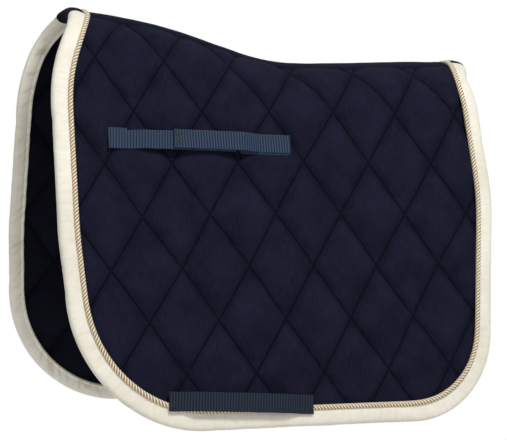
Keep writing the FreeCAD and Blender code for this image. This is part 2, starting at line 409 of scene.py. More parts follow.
class Shader:
    """A material's node tree, with short calls for the nodes that these fabrics need."""

    def __init__(self, name, roughness, sheen=0.0, sheen_tint=(1, 1, 1), specular=0.3, metallic=0.0):
        self.material = bpy.data.materials.new(name)
        self.material.use_nodes = True
        self.tree = self.material.node_tree
        self.surface = self.tree.nodes["Principled BSDF"]
        wire(self.tree, self.surface, {
            "Roughness": roughness, "Metallic": metallic, "Sheen Weight": sheen, "Sheen Roughness": 0.5,
            "Sheen Tint": (*sheen_tint, 1), "Specular IOR Level": specular})

    def node(self, kind, inputs={}, **settings):
        return add_node(self.tree, kind, inputs, **settings)

    def weave_coordinates(self, scale=(1, 1, 1), turn=0.0):
        """The piece's own flat coordinates in metres, scaled and turned."""
        flat = self.node("UVMap", uv_map="weave").outputs["UV"]
        return self.node("Mapping", {"Vector": flat, "Scale": scale, "Rotation": (0, 0, turn)}).outputs["Vector"]

    def object_coordinates(self):
        return self.node("TexCoord").outputs["Object"]

    def noise(self, where, scale, detail=2.0, roughness=0.5):
        return self.node("TexNoise", {"Vector": where, "Scale": scale, "Detail": detail,
                                      "Roughness": roughness}).outputs["Fac"]

    def bands(self, where, period, direction="X", distortion=0.0):
        """Ribs this far apart, 0 in the grooves and 1 on the crests."""
        return self.node("TexWave", {"Vector": where, "Scale": 2 * math.pi / 20 / period,
                                     "Distortion": distortion, "Detail": 1.0, "Detail Scale": 1.5},
                         bands_direction=direction).outputs["Fac"]

    def math(self, operation, a, b=0.0):
        return self.node("Math", {0: a, 1: b}, operation=operation).outputs[0]

    def total(self, *terms):
        """Sum of (value, weight) terms."""
        result = None
        for value, weight in terms:
            part = value if weight == 1 else self.math("MULTIPLY", value, weight)
            result = part if result is None else self.math("ADD", result, part)
        return result

    def colours(self, factor, low, high, start=0.0, end=1.0):
        """A colour from low at start to high at end."""
        made = self.node("ValToRGB", {"Fac": factor})
        for element, position, colour in zip(made.color_ramp.elements, (start, end), (low, high)):
            element.position = position
            element.color = (*colour, 1)
        return made.outputs["Color"]

    def multiply(self, colour, factor):
        """colour darkened where factor is under 1."""
        return self.node("Mix", {"Factor": 1.0, "A": colour, "B": factor},
                         data_type="RGBA", blend_type="MULTIPLY").outputs["Result"]

    def lighten(self, colour, factor, toward):
        """colour mixed toward another one where factor is 1."""
        return self.node("Mix", {"Factor": factor, "A": colour, "B": (*toward, 1)},
                         data_type="RGBA").outputs["Result"]

    def ramp(self, value, low, high, first=0.0, last=1.0):
        """first at low and last at high, held beyond them."""
        return self.node("MapRange", {"Value": value, "From Min": low, "From Max": high,
                                      "To Min": first, "To Max": last}).outputs["Result"]

    def attribute(self, name):
        return self.node("Attribute", attribute_name=name).outputs["Fac"]

    def finish(self, colour, height=None, distance=0.1 * MM, strength=1.0, roughness=None):
        inputs = {"Base Color": colour}
        if roughness is not None:
            inputs["Roughness"] = roughness
        if height is not None:
            bump = self.node("Bump", {"Strength": strength, "Distance": distance, "Height": height})
            inputs["Normal"] = bump.outputs["Normal"]
        wire(self.tree, self.surface, inputs)
        return self.material


def linear(red, green, blue):
    """A colour given as 0 to 255 sRGB, in the shader's linear values."""
    def one(value):
        value /= 255
        return value / 12.92 if value <= 0.04045 else ((value + 0.055) / 1.055) ** 2.4
    return one(red), one(green), one(blue)


def cotton_material(name, dark, light, quilted=True):
    """Fine navy cotton twill with faint streaks along the threads, with painted shade toward and along the
    stitch lines.
    """
    shader = Shader(name, roughness=0.9, sheen=0.03, sheen_tint=(0.6, 0.65, 0.9), specular=0.05)
    flat = shader.weave_coordinates()
    twill = shader.bands(shader.weave_coordinates(turn=math.radians(62)), 0.75 * MM, distortion=0.6)
    threads = shader.bands(flat, 0.5 * MM, direction="Y", distortion=0.3)
    slubs = shader.noise(shader.weave_coordinates(scale=(900, 70, 1)), 1.0, detail=3)
    blotches = shader.noise(flat, 22, detail=4)
    tone = shader.total((slubs, 0.55), (blotches, 0.45))
    colour = shader.colours(tone, dark, light, 0.32, 0.68)
    height = shader.total((twill, 0.7), (threads, 0.3), (slubs, 0.8))
    if quilted:
        away, stitch = seam_masks(shader)
        line = shader.ramp(away, 0.45 * MM, 1.8 * MM)
        # painted shade: darker within 11 mm of each stitch line, where the quilted puffs turn away from the
        # light
        painted_seam_shade = shader.colours(shader.ramp(away, 0, 11 * MM), (0.68, 0.68, 0.7), (1, 1, 1))
        colour = shader.multiply(colour, painted_seam_shade)
        # painted shade: a dark line along each stitch groove
        painted_groove_shade = shader.colours(line, (0.14, 0.14, 0.17), (1, 1, 1), 0.0, 1.0)
        colour = shader.multiply(colour, painted_groove_shade)
        colour = shader.lighten(colour, stitch, [value * 1.6 for value in dark])
        height = shader.total((height, 1), (line, 4.0), (stitch, 3.0))
    return shader.finish(colour, height, distance=0.09 * MM, strength=0.5)


def seam_masks(shader):
    """Distance from the nearest stitch line in metres, and 1 on each stitch of the thread."""
    split = shader.node("SeparateXYZ", {0: shader.node("UVMap", uv_map="lattice").outputs["UV"]})
    across, along = split.outputs["X"], split.outputs["Y"]
    distances, stitches = [], []
    for value, run in ((across, along), (along, across)):
        part = shader.math("SUBTRACT", shader.math("FRACT", shader.math("ADD", value, 20.5)), 0.5)
        away = shader.math("MULTIPLY", shader.math("ABSOLUTE", part), QUILT_ROWS)
        distances.append(away)
        count = shader.math("MULTIPLY", shader.math("ADD", run, 20.0), QUILT_SIDE / QUILT_STITCH)
        dash = shader.math("FRACT", count)
        dash = shader.math("MULTIPLY", shader.ramp(dash, 0.1, 0.2), shader.ramp(dash, 0.8, 0.7))
        stitches.append(shader.math("MULTIPLY", shader.ramp(away, 0.5 * MM, 0.3 * MM), dash))
    return shader.math("MINIMUM", *distances), shader.math("MAXIMUM", *stitches)


def satin_material(name, dark, light):
    """Light satin cotton: a soft shine, faint threads along the edge, small crumples, and painted shade in the
    binding's creases and puckers.
    """
    shader = Shader(name, roughness=0.5, sheen=0.12, sheen_tint=(1, 0.97, 0.9), specular=0.35)
    flat = shader.weave_coordinates()
    threads = shader.bands(flat, 0.45 * MM, direction="Y", distortion=0.5)
    crumples = shader.noise(shader.weave_coordinates(scale=(160, 60, 1)), 1.0, detail=4)
    soil = shader.noise(shader.object_coordinates(), 9, detail=5, roughness=0.6)
    tone = shader.total((crumples, 0.35), (soil, 0.65))
    colour = shader.colours(tone, dark, light, 0.3, 0.62)
    # painted shade: darker where the fold_shade attribute marks creases and hem puckers
    painted_crease_shade = shader.colours(shader.attribute("fold_shade"), (1, 1, 1), (0.62, 0.6, 0.54))
    colour = shader.multiply(colour, painted_crease_shade)
    height = shader.total((threads, 0.25), (crumples, 1))
    rough = shader.ramp(crumples, 0, 1, 0.42, 0.62)
    return shader.finish(colour, height, distance=0.25 * MM, strength=0.5, roughness=rough)


def strand_material(name, dark, light, metallic, roughness):
    """One strand of the piping: fine fibres laid along it."""
    shader = Shader(name, roughness=roughness, sheen=0.2, specular=0.5, metallic=metallic)
    fibres = shader.bands(shader.weave_coordinates(), 0.55 * MM, direction="X", distortion=2.0)
    worn = shader.noise(shader.weave_coordinates(), 260, detail=3)
    colour = shader.colours(shader.total((fibres, 0.5), (worn, 0.5)), dark, light, 0.25, 0.75)
    return shader.finish(colour, fibres, distance=0.12 * MM, strength=0.7)


def webbing_material(name, dark, light):
    """Ribbed webbing: fine cords across its width, with painted shade in the grooves so the crests read lighter.
    """
    shader = Shader(name, roughness=0.65, sheen=0.05, sheen_tint=(0.6, 0.75, 1), specular=0.15)
    flat = shader.weave_coordinates()
    warp = shader.bands(flat, 0.9 * MM, direction="Y", distortion=0.8)
    grain = shader.noise(flat, 900, detail=2)
    # painted shade: the crest attribute darkens the grooves between the ribs
    tone = shader.total((shader.attribute("crest"), 0.55), (grain, 0.45))
    colour = shader.colours(tone, dark, light, 0.15, 0.85)
    height = shader.total((warp, 0.6), (grain, 0.6))
    return shader.finish(colour, height, distance=0.12 * MM, strength=0.6)


def tape_material(name, dark, light):
    """Flat twill tape with a herringbone grain."""
    shader = Shader(name, roughness=0.75, sheen=0.2, sheen_tint=(0.6, 0.65, 0.9), specular=0.2)
    flat = shader.weave_coordinates()
    left = shader.bands(shader.weave_coordinates(turn=math.radians(45)), 1.1 * MM)
    cross = shader.bands(flat, 0.8 * MM, direction="Y")
    grain = shader.noise(flat, 700, detail=2)
    colour = shader.colours(shader.total((left, 0.4), (grain, 0.6)), dark, light, 0.2, 0.8)
    height = shader.total((left, 1), (cross, 0.5))
    return shader.finish(colour, height, distance=0.1 * MM, strength=0.6)


def fastener_material(name, dark, light, scale):
    """Hook-and-loop pile: a dense field of small tufts."""
    shader = Shader(name, roughness=0.9, sheen=0.5, sheen_tint=(0.6, 0.65, 0.8), specular=0.1)
    tufts = shader.node("TexVoronoi", {"Scale": scale, "Vector": shader.object_coordinates()})
    fuzz = shader.noise(shader.object_coordinates(), scale * 1.7, detail=3)
    tone = shader.math("MULTIPLY", tufts.outputs["Distance"], fuzz)
    colour = shader.colours(tone, light, dark, 0.0, 0.5)
    return shader.finish(colour, tone, distance=-0.5 * MM, strength=1.0)


QUILT_X, QUILT_UP = 96 * MM, 142.9 * MM        # width and height of a diamond
QUILT_ROWS = 79.7 * MM                         # distance between stitch lines
QUILT_SIDE = 86.1 * MM                         # length of a diamond's side
QUILT_STITCH = 3.2 * MM                        # from one stitch of its thread to the next

COTTON = cotton_material("navy_cotton", linear(13, 14, 28), linear(30, 30, 49))
COTTON_STRIP = cotton_material("navy_cotton_strip", linear(14, 15, 28), linear(21, 22, 37), quilted=False)
LINING = cotton_material("navy_lining", linear(8, 9, 17), linear(18, 19, 30))
SATIN = satin_material("cream_satin", linear(214, 207, 190), linear(233, 228, 214))
GOLD = strand_material("gold_strand", linear(122, 92, 40), linear(198, 158, 84), 0.3, 0.4)
WHITE = strand_material("white_strand", linear(222, 214, 192), linear(247, 243, 230), 0.0, 0.5)
WEBBING = webbing_material("blue_webbing", linear(4, 8, 14), linear(54, 72, 98))
DARK_WEBBING = webbing_material("dark_blue_webbing", linear(3, 6, 11), linear(39, 50, 68))
TAPE = tape_material("navy_tape", linear(15, 16, 28), linear(27, 28, 45))
PILE = fastener_material("loop_pile", linear(14, 16, 26), linear(34, 40, 58), 1100)
HOOKS = fastener_material("hook_pile", linear(16, 20, 32), linear(44, 52, 72), 800)
PALE_THREAD = strand_material("cream_thread", linear(224, 214, 192), linear(246, 240, 226), 0.0, 0.5)
BLUE_THREAD = strand_material("blue_thread", linear(4, 6, 10), linear(13, 17, 24), 0.0, 0.7)


# ---------------------------------------------------------------- quilted panels

QUILT_NODE = (-283 * MM, 85 * MM)              # where one pair of stitch lines would cross
QUILT_CELLS = 20                               # mesh cells along a diamond's side
SEAM_DEPTH = 3.8 * MM                          # how far the stitch lines pull each face in
EDGE_SEAM_DEPTH = 1.4 * MM                     # and how far under the binding and the strip
INNER_PUFF = 0.4 * MM                          # how far a diamond stands out of the lining's face
PUFF_OUT = 1.2 * MM                            # how far a diamond stands out of the CAD face
PANEL_START = 7 * MM                           # the panels' own edge, inside the binding
BINDING_WIDTH = 22 * MM
STRIP_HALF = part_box("spine_outer_tape")[1].y
CAP_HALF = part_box("spine_front_cap")[1].y
TAPE_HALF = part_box("spine_inner_tape")[1].y


def wander(x, up):
    """Small drift of the stitch lines from a perfect lattice."""
    x = x + 1.6 * MM * np.sin(11 * x + 17 * up + 1.0) + 0.9 * MM * np.sin(31 * up - 9 * x)
    up = up + 1.8 * MM * np.sin(14 * x - 8 * up + 2.0)
    return x, up


def lattice(across, along):
    """Place on the panel of lattice coordinates, whose whole numbers are stitch lines."""
    u, v = across - 0.5, along - 0.5
    x = QUILT_NODE[0] + QUILT_X * (u + v) / 2
    up = QUILT_NODE[1] + QUILT_UP * (u - v) / 2
    return wander(x, up)


def gathered(count):
    """Cell counts as lattice coordinates, with the cells gathered toward the stitch lines."""
    t = count / QUILT_CELLS
    return t - 0.1 * np.sin(2 * math.pi * t)


def grid_cells():
    """Lattice grid vertices and quads that lie inside the panel, as (i, j) counts of cells."""
    span = 14 * QUILT_CELLS
    i, j = np.meshgrid(np.arange(-span, span), np.arange(-span, span), indexing="ij")
    x, up = lattice(gathered(i), gathered(j))
    z = place(x, up, 0.0)[..., 2]
    inset = np.full(x.shape, -1.0)
    rough = (x > OUTLINE[:, 0].min()) & (x < OUTLINE[:, 0].max()) & (z > OUTLINE[:, 1].min())
    rough &= up < spine_up(x) + 3 * MM
    inset[rough] = edge_inset(x[rough], z[rough])
    keep = rough & (inset > PANEL_START)
    quad = keep[:-1, :-1] & keep[1:, :-1] & keep[1:, 1:] & keep[:-1, 1:]
    return i, j, x, up, inset, quad


def make_panel():
    """The left quilted panel as one closed pad: outer face, inner face and the edge between them."""
    i, j, x, up, inset, quad = grid_cells()
    used = np.zeros(x.shape, bool)
    for di in (0, 1):
        for dj in (0, 1):
            used[di:used.shape[0] - 1 + di, dj:used.shape[1] - 1 + dj] |= quad
    number = np.full(x.shape, -1)
    number[used] = np.arange(used.sum())
    count = int(used.sum())
    i, j, x, up, inset = i[used], j[used], x[used], up[used], inset[used]
    below = spine_up(x) - up
    up = np.minimum(up, spine_up(x))
    seam = (np.mod(i, QUILT_CELLS) == 0) | (np.mod(j, QUILT_CELLS) == 0)
    across, along = gathered(i), gathered(j)
    from_edge = np.minimum(inset - (BINDING_WIDTH - 1 * MM), below - (STRIP_HALF - 1.5 * MM))
    puff = shoulder(across) * shoulder(along) * rounded(from_edge, 16 * MM)
    seam_depth = EDGE_SEAM_DEPTH + (SEAM_DEPTH - EDGE_SEAM_DEPTH) * np.clip(from_edge / (6 * MM), 0, 1)
    outer = seam_depth - (SEAM_DEPTH + PUFF_OUT) * puff
    inner = THICK - seam_depth + (SEAM_DEPTH + INNER_PUFF) * puff
    vertices = np.vstack([place(x, up, outer), place(x, up, inner)])
    corners = np.stack([number[:-1, :-1][quad], number[1:, :-1][quad],
                        number[1:, 1:][quad], number[:-1, 1:][quad]], 1)
    faces = [tuple(c) for c in corners] + [tuple(c[::-1] + count) for c in corners]
    faces += rim_faces(corners, count)
    uvs = np.tile(np.stack([x, up], 1), (2, 1))
    panel = make_object("left_quilted_panel", vertices, faces, [COTTON, LINING], uvs)
    add_uvs(panel, "lattice", np.tile(np.stack([across, along], 1), (2, 1)))
    panel.data.polygons.foreach_set("material_index",
                                    [0] * len(corners) + [1] * (len(faces) - len(corners)))
    outward_normals(panel)
    pinned = np.tile(seam | (from_edge < 1 * MM), 2)
    inflate(panel, pinned, pressure=4.0, shrink=-0.02, stiffness=12, bending=0.15, cap=3.0 * MM)
    pucker_cloth(panel, across, along, from_edge)
    press_under_webbing(panel, count)
    crease_seams(panel, np.tile(seam, 2))
    subdivide(panel)
    return panel


def shoulder(coordinate):
    """0 on the stitch lines, rising to a nearly flat 1 between them."""
    nearness = 1 - 2 * np.abs(np.mod(coordinate, 1) - np.round(np.mod(coordinate, 1)))
    return 1 - nearness ** 3.5


def pucker_cloth(panel, across, along, from_edge):
    """Small level wrinkles in the cover, where each diamond meets its stitch lines."""
    co = vertex_values(panel.data)
    near_seam = 1 - np.minimum(shoulder(across), shoulder(along)) ** 3
    weight = (0.15 + 0.85 * near_seam) * np.clip(from_edge / (8 * MM), 0, 1)
    for k in np.flatnonzero(weight > 0.2):
        x, _, z = co[k]
        patch = 0.5 + noise.noise(Vector((x * 14, z * 14, 5.0)))
        wrinkle = 0.3 - abs(noise.noise(Vector((x * 22, z * 120, 1.3)))) * 2
        co[k, 1] -= wrinkle * patch * weight[k] * 0.9 * MM
    set_coordinates(panel, co)


def rounded(distance, reach):
    """0 at the edge, rising like a quarter circle to 1 at reach."""
    share = np.clip(distance / reach, 0, 1)
    return np.sqrt(share * (2 - share))


def eased(share):
    """A share between 0 and 1 with a soft start and end."""
    return share * share * (3 - 2 * share)


def press_under_webbing(panel, outer_count):
    """Flattens the outer face where the billet keeper's ends are sewn down."""
    co = vertex_values(panel.data)
    outer = co[:outer_count]
    origin, along, across, out = BILLET
    for first, last in ((0.0, 24 * MM), node_span("left_billet_anchor", BILLET)):
        offset = outer - origin
        reach, side, height = offset @ along, offset @ across, offset @ out
        away = np.maximum.reduce([np.abs(side) - WEB_WIDTH / 2 - 1 * MM, first - reach, reach - last])
        weight = eased(np.clip(1 - away / (6 * MM), 0, 1))
        lower = np.minimum(height, -0.5 * MM)
        outer += ((lower - height) * weight)[:, None] * out
    set_coordinates(panel, co)


def rim_faces(corners, count):
    """Quads between the outer and inner face along the panel's edge."""
    edges = set()
    for face in corners:
        for a, b in zip(face, np.roll(face, -1)):
            edges.add((int(a), int(b)))
    return [(b, a, a + count, b + count) for a, b in edges if (b, a) not in edges]


def outward_normals(obj):
    bpy.context.view_layer.objects.active = obj
    obj.select_set(True)
    bpy.ops.object.mode_set(mode="EDIT")
    bpy.ops.mesh.select_all(action="SELECT")
    bpy.ops.mesh.normals_make_consistent(inside=False)
    bpy.ops.object.mode_set(mode="OBJECT")
    obj.select_set(False)


def store_value(obj, name, values):
    attribute = obj.data.attributes.new(name, "FLOAT", "POINT")
    attribute.data.foreach_set("value", np.asarray(values, np.float32))


def crease_seams(obj, seam):
    """Keeps the stitch lines sharp when the mesh is subdivided."""
    creases = obj.data.attributes.new("crease_edge", "FLOAT", "EDGE")
    pairs = np.empty(len(obj.data.edges) * 2, int)
    obj.data.edges.foreach_get("vertices", pairs)
    pairs = pairs.reshape(-1, 2)
    both = seam[pairs[:, 0]] & seam[pairs[:, 1]]
    creases.data.foreach_set("value", np.where(both, 0.8, 0.0).astype(np.float32))


# ---------------------------------------------------------------- binding

# Inset and depth in mm round the folded binding, from its outer inner edge over the pad's edge.
BINDING_SECTION = [
    (23.6, 0.6), (23.3, -1.9), (21.6, -2.7), (17.5, -2.5), (14.0, -2.4), (10.0, -2.1), (6.6, -1.3),
    (4.0, 0.0), (2.5, 1.8), (1.7, 4.0), (1.6, 6.4), (2.4, 8.8), (4.2, 10.6), (7.2, 11.8),
    (10.5, 12.3), (13.6, 12.3), (16.2, 11.9), (17.6, 10.4), (18.8, 11.6), (20.4, 12.5),
    (22.0, 11.9), (22.6, 9.4), (20.5, 7.2), (20.5, 4.0),
]
BINDING_HELD = (0, 1, 17, 21, 22, 23)           # its points that the stitching holds
BINDING_STEP = 2.6 * MM
TUCK = CAP_HALF - 6 * MM                        # its ends lie this far from the spine, under a cap
HEM_INSET = 20.4 * MM                           # crest of its inner hem, and how far that stands
HEM_RISE = 2.6 * MM                             # off the lining


def section_rings(section, step, tuck):
    """Rings of a section swept round the edge, each column ending at the same distance from the spine."""
    columns = []
    for inset, _ in section:
        index, x, up = edge_run(inset)
        open_part = np.flatnonzero(spine_up(x) - up > tuck)
        part = slice(open_part[0], open_part[-1] + 1)
        columns.append((index[part], x[part], up[part]))
    first = np.array([c[0][0] for c in columns])
    last = np.array([c[0][-1] for c in columns])
    count = int((last.min() - first.max()) * OUTLINE_STEP / step)
    even = np.linspace(0, 1, count)
    ease = np.clip(1 - even * count * step / (90 * MM), 0, 1) ** 2
    rings = []
    for (index, x, up), (_, depth), start, end in zip(columns, section, first, last):
        spots = first.mean() + (last.mean() - first.mean()) * even
        spots += (start - first.mean()) * ease + (end - last.mean()) * ease[::-1]
        rings.append(place(np.interp(spots, index, x), np.interp(spots, index, up), depth))
    return np.stack(rings, 1)


def make_binding():
    """The left edge binding, tucked under the caps at both ends."""
    section = np.array(BINDING_SECTION) * MM
    rings = section_rings(section, BINDING_STEP, TUCK)
    count, sides = rings.shape[:2]
    run, around = run_along(rings[:, 9]), run_along(section)
    uvs = np.stack([np.repeat(run, sides), np.tile(around, count)], 1)
    binding = make_object("left_binding", rings.reshape(-1, 3), tube_faces(count, sides), [SATIN], uvs)
    outward_normals(binding)
    pinned = np.tile(np.isin(np.arange(sides), BINDING_HELD), count)
    pinned[:sides] = True
    pinned[-sides:] = True
    inflate(binding, pinned, pressure=1.5, shrink=-0.01, stiffness=8, bending=0.2, cap=1.0 * MM)
    wrinkle_binding(binding, run, around, sides)
    subdivide(binding)
    return binding


def wrinkle_binding(binding, run, around, sides):
    """Slanted creases, faint outside, deep with painted shade inside, and small puckers with painted shade along
    the inner hem.
    """
    co = vertex_values(binding.data)
    normals = vertex_values(binding.data, "normal")
    low_row, high_row = 2, 20
    heights = np.zeros(len(co))
    shade = np.zeros(len(co))
    for k, (ring, side) in enumerate(np.ndindex(len(run), sides)):
        if not low_row <= side <= high_row:
            continue
        where, across = run[ring], around[side]
        area = 0.6 + 0.6 * noise.noise(Vector((where * 6, 3.1, 0.0)))
        crease = abs(noise.noise(Vector((where * 48 + across * 42, across * 12, 1.7))))
        inner = min(max((side - 11) / 3, 0), 1)
        fade = math.sin(math.pi * (side - low_row) / (high_row - low_row)) ** 0.3 if side > low_row else 0
        heights[k] = (0.25 - crease * 1.6) * (0.16 + 1.3 * inner) * area * fade
        fold = math.exp(-(crease / 0.07) ** 2) * inner * area
        heights[k] -= 0.9 * fold
        shade[k] = fold
        if side >= 18:
            pucker = noise.noise(Vector((where * 210, side, 4.0)))
            heights[k] += 0.45 * pucker
            shade[k] = max(fold, -1.5 * pucker)
    # fold_shade is painted shade for the satin's colour, in the creases and hem puckers
    store_value(binding, "fold_shade", np.clip(shade, 0, 1))
    set_coordinates(binding, co + normals * (heights * MM)[:, None])


# ---------------------------------------------------------------- piping

PIPING_INSET = BINDING_WIDTH + 3.2 * MM
PIPING_RADIUS = 3.6 * MM
STRANDS = 6
STRAND_RADIUS = 1.35 * MM
PIPING_LEAD = 14 * MM                           # length of one turn of a strand
PIPING_STEP = PIPING_LEAD / 16
PIPING_SINK = 5.4 * MM                          # how far it sinks into the cloth at the spine
STRAND_SIDES = 6


def frames_along(points, outward):
    """Unit tangents, outward normals and side vectors along a path."""
    tangent = unit(np.gradient(points, axis=0))
    side = unit(np.cross(tangent, outward))
    return tangent, np.cross(side, tangent), side


def make_piping():
    """Twisted cord along the binding's inner edge, as separate strands in one piece."""
    x, up = up_to_spine(PIPING_INSET)
    sinking = np.clip(1 - (spine_up(x) - up) / (34 * MM), 0, 1)
    depth = -PIPING_RADIUS + 0.7 * MM + PIPING_SINK * eased(sinking)
    length = run_along(place(x, up, depth))
    run = np.linspace(0, length[-1], int(length[-1] / PIPING_STEP))
    x, up, depth = resample(np.stack([x, up, depth], 1), length, run).T
    centre = smooth(place(x, up, depth), 5)
    _, normal, side = frames_along(centre, place(x, up, depth - 1 * MM) - place(x, up, depth))
    orbit = PIPING_RADIUS - STRAND_RADIUS
    vertices, faces, uvs, indices = [], [], [], []
    turn = 2 * math.pi * run / PIPING_LEAD
    for strand in range(STRANDS):
        phase = (turn + 2 * math.pi * strand / STRANDS)[:, None]
        radial = np.cos(phase) * normal + np.sin(phase) * side
        middle = centre + orbit * radial
        sideways = np.cross(unit(np.gradient(middle, axis=0)), radial)
        start = strand * len(middle) * STRAND_SIDES
        ring = []
        for k in range(STRAND_SIDES):
            angle = 2 * math.pi * k / STRAND_SIDES
            ring.append(middle + STRAND_RADIUS * (math.cos(angle) * radial + math.sin(angle) * sideways))
        vertices.append(np.stack(ring, 1).reshape(-1, 3))
        new = tube_faces(len(middle), STRAND_SIDES, start)
        faces += new
        indices += [strand % 2] * len(new)
        around = np.tile(np.arange(STRAND_SIDES) * STRAND_RADIUS, len(middle))
        uvs.append(np.stack([around, np.repeat(run * 1.7, STRAND_SIDES)], 1))
    piping = make_object("left_piping", np.vstack(vertices), faces, [GOLD, WHITE], np.vstack(uvs))
    piping.data.polygons.foreach_set("material_index", indices)
    return piping


# ---------------------------------------------------------------- tapes over the spine

ACROSS = np.linspace(-1, 1, 25)


def make_strip():
    """Quilt-cloth strip sewn over the spine, a little padded between its stitched edges."""
    stations = np.arange(*(v.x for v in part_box("spine_outer_tape")), 2.5 * MM)
    below = np.abs(ACROSS) * STRIP_HALF
    front, rear = (edge_x(PIPING_INSET + 3.4 * MM, below, end) for end in (True, False))
    rings = []
    for part in np.linspace(0, 1, len(stations)):
        x = front + (rear - front) * part
        pucker = noise_at(x * 38, ACROSS * 3, 2.0)
        edge_pucker = noise_at(x * 130, ACROSS, 7.0)
        lift = (1 - ACROSS ** 8) * (1.4 + 0.35 * pucker) + np.abs(ACROSS) ** 6 * 0.35 * edge_pucker
        up = spine_up(x) - ACROSS * STRIP_HALF
        top = place(x, up, (1.4 - 1.9 * lift / 1.4) * MM)
        low = place(x[::-1], up[::-1], np.full(len(x), 3.4 * MM))
        rings.append(np.vstack([top, low]))
    return swept_band("spine_strip_cloth", np.stack(rings), COTTON_STRIP)


def make_inner_tape():
    """Tape under the spine seam."""
    low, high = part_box("spine_inner_tape")
    rings = []
    for x in np.arange(low.x, high.x, 2.5 * MM):
        ripple = noise.noise(Vector((x * 40, 5.3, 0))) * 0.25 * MM
        station = np.full(len(ACROSS), x)
        up = spine_up(station) - ACROSS * TAPE_HALF
        rings.append(np.vstack([place(station, up, THICK - 1.2 * MM + ripple),
                                place(station, up[::-1], THICK + 1.0 * MM + ripple)]))
    return swept_band("spine_inner_tape_cloth", np.stack(rings), TAPE)


def swept_band(name, rings, material):
    count, sides = rings.shape[:2]
    uvs = np.stack([np.repeat(run_along(rings[:, 0]), sides), np.tile(run_along(rings[0]), count)], 1)
    band = make_object(name, rings.reshape(-1, 3), tube_faces(count, sides), [material], uvs)
    outward_normals(band)
    return band


# Inset and depth in mm round a cap, which covers the bindings' ends.
CAP_SECTION = [
    (22.4, 0.4), (22.4, -1.6), (20.8, -2.9), (17.5, -3.4), (13.0, -3.5), (9.0, -3.2), (5.6, -2.3),
    (2.8, -0.6), (1.0, 1.8), (0.4, 4.4), (0.5, 7.4), (1.6, 10.2), (4.0, 12.2), (7.6, 13.2),
    (12.0, 13.5), (17.0, 13.4), (20.6, 12.9), (21.8, 11.6), (20.0, 8.5), (20.0, 3.0),
]


def make_cap(name, front):
    """Cloth cap over the spine at one end, folded round the edge over the bindings' ends."""
    section = np.array(CAP_SECTION) * MM
    half = CAP_HALF + 0.5 * MM
    columns = []
    for k, (inset, depth) in enumerate(section):
        below = np.abs(ACROSS) * half
        x = edge_x(inset, below, front)
        pucker = noise_at(ACROSS * 5, k * 0.35, 3.0 + front)
        sunk = depth + 0.5 * MM * pucker + np.where(depth > THICK / 2, -1, 1) * ACROSS ** 12 * 0.9 * MM
        columns.append(place(x, spine_up(x) - ACROSS * half, sunk))
    rings = np.stack(columns, 1)
    cap = swept_band(name, rings, COTTON_STRIP)
    subdivide(cap)
    return cap


# ---------------------------------------------------------------- webbing

WEB_WIDTH = 25 * MM
WEB_THICK = 1.3 * MM
RIB = 3.9 * MM
RIB_SAMPLES = 8
RIB_LEAN = 0.5 * MM


def keeper_frame(front_node, rear_node):
    """Where a keeper starts and which way it runs, from the boxes of its nodes."""
    tail, down, out = np.array([[STEEP, 0, 0], [0, -SLANT, -1], [0, -1, SLANT]]) / STEEP
    points = np.vstack([node_points(front_node), node_points(rear_node)])
    fold_point = place(0.0, 0.0, 0.0)
    flat_x, flat_down = points[:, 0], (points - fold_point) @ down
    ends = []
    for x in (flat_x.min(), flat_x.max()):
        near = flat_down[np.abs(flat_x - x) < 4 * MM]
        ends.append(np.array([x, (near.min() + near.max()) / 2]))
    start, end = ends
    tilt = math.atan2(end[1] - start[1], end[0] - start[0])
    along = tail * math.cos(tilt) + down * math.sin(tilt)
    across = down * math.cos(tilt) - tail * math.sin(tilt)
    origin = fold_point + tail * start[0] + down * start[1]
    return origin, along, across, out


def strap_centreline(points, step):
    """A smooth, evenly spaced centre line through (along, out) points."""
    run = run_along(points)
    line = smooth(resample(points, run, np.arange(0, run[-1], 0.25 * MM)), 5)
    run = run_along(line)
    even = np.linspace(0, run[-1], int(run[-1] / step))
    return resample(line, run, even), even


def make_webbing(name, where, points, seed, shift=0.0, material=WEBBING):
    """Ribbed webbing that follows (along, out) points, with scalloped edges and small waves."""
    origin, along, across, out = where
    line, run = strap_centreline(points, RIB / RIB_SAMPLES)
    ahead = unit(np.gradient(line, axis=0))
    face = np.stack([-ahead[:, 1], ahead[:, 0]], 1)
    places = np.array([-1.0, -0.975, -0.92, -0.75, -0.5, -0.25, 0.0, 0.25, 0.5, 0.75, 0.92, 0.975, 1.0])
    profile = np.array([0.3, 0.8] + [1.0] * 9 + [0.8, 0.3])
    rings, crests = [], []
    for k in range(len(line)):
        rib = 0.5 + 0.5 * np.cos(2 * math.pi * (run[k] + places * RIB_LEAN) / RIB)
        wave = noise_at(run[k] * 22, places * 0.8, seed) * 0.4 * MM
        edge = noise.noise(Vector((run[k] * 60, 7.1, seed))) * 0.3 * MM
        half = WEB_THICK / 2 * profile * (0.4 + 0.6 * rib)
        reach = places * (WEB_WIDTH / 2) * (1 + 0.022 * rib * np.abs(places) ** 8) + shift + edge
        loop = []
        for sign, order in ((1, slice(None)), (-1, slice(None, None, -1))):
            spot = line[k][None, :] + face[k][None, :] * (wave + sign * half)[order][:, None]
            loop.append(origin + spot[:, :1] * along + spot[:, 1:] * out + reach[order][:, None] * across)
        rings.append(np.vstack(loop))
        crests.append(np.concatenate([rib, rib[::-1]]))
    rings = np.stack(rings)
    count, sides = rings.shape[:2]
    uvs = np.stack([np.repeat(run, sides),
                    np.tile(np.concatenate([places, places[::-1]]) * WEB_WIDTH / 2, count)], 1)
    strap = make_object(name, rings.reshape(-1, 3), tube_faces(count, sides), [material], uvs)
    # crest is 1 on the rib crests and 0 in the grooves; the webbing material paints shade in the grooves from it
    store_value(strap, "crest", np.concatenate(crests))
    outward_normals(strap)
    return strap


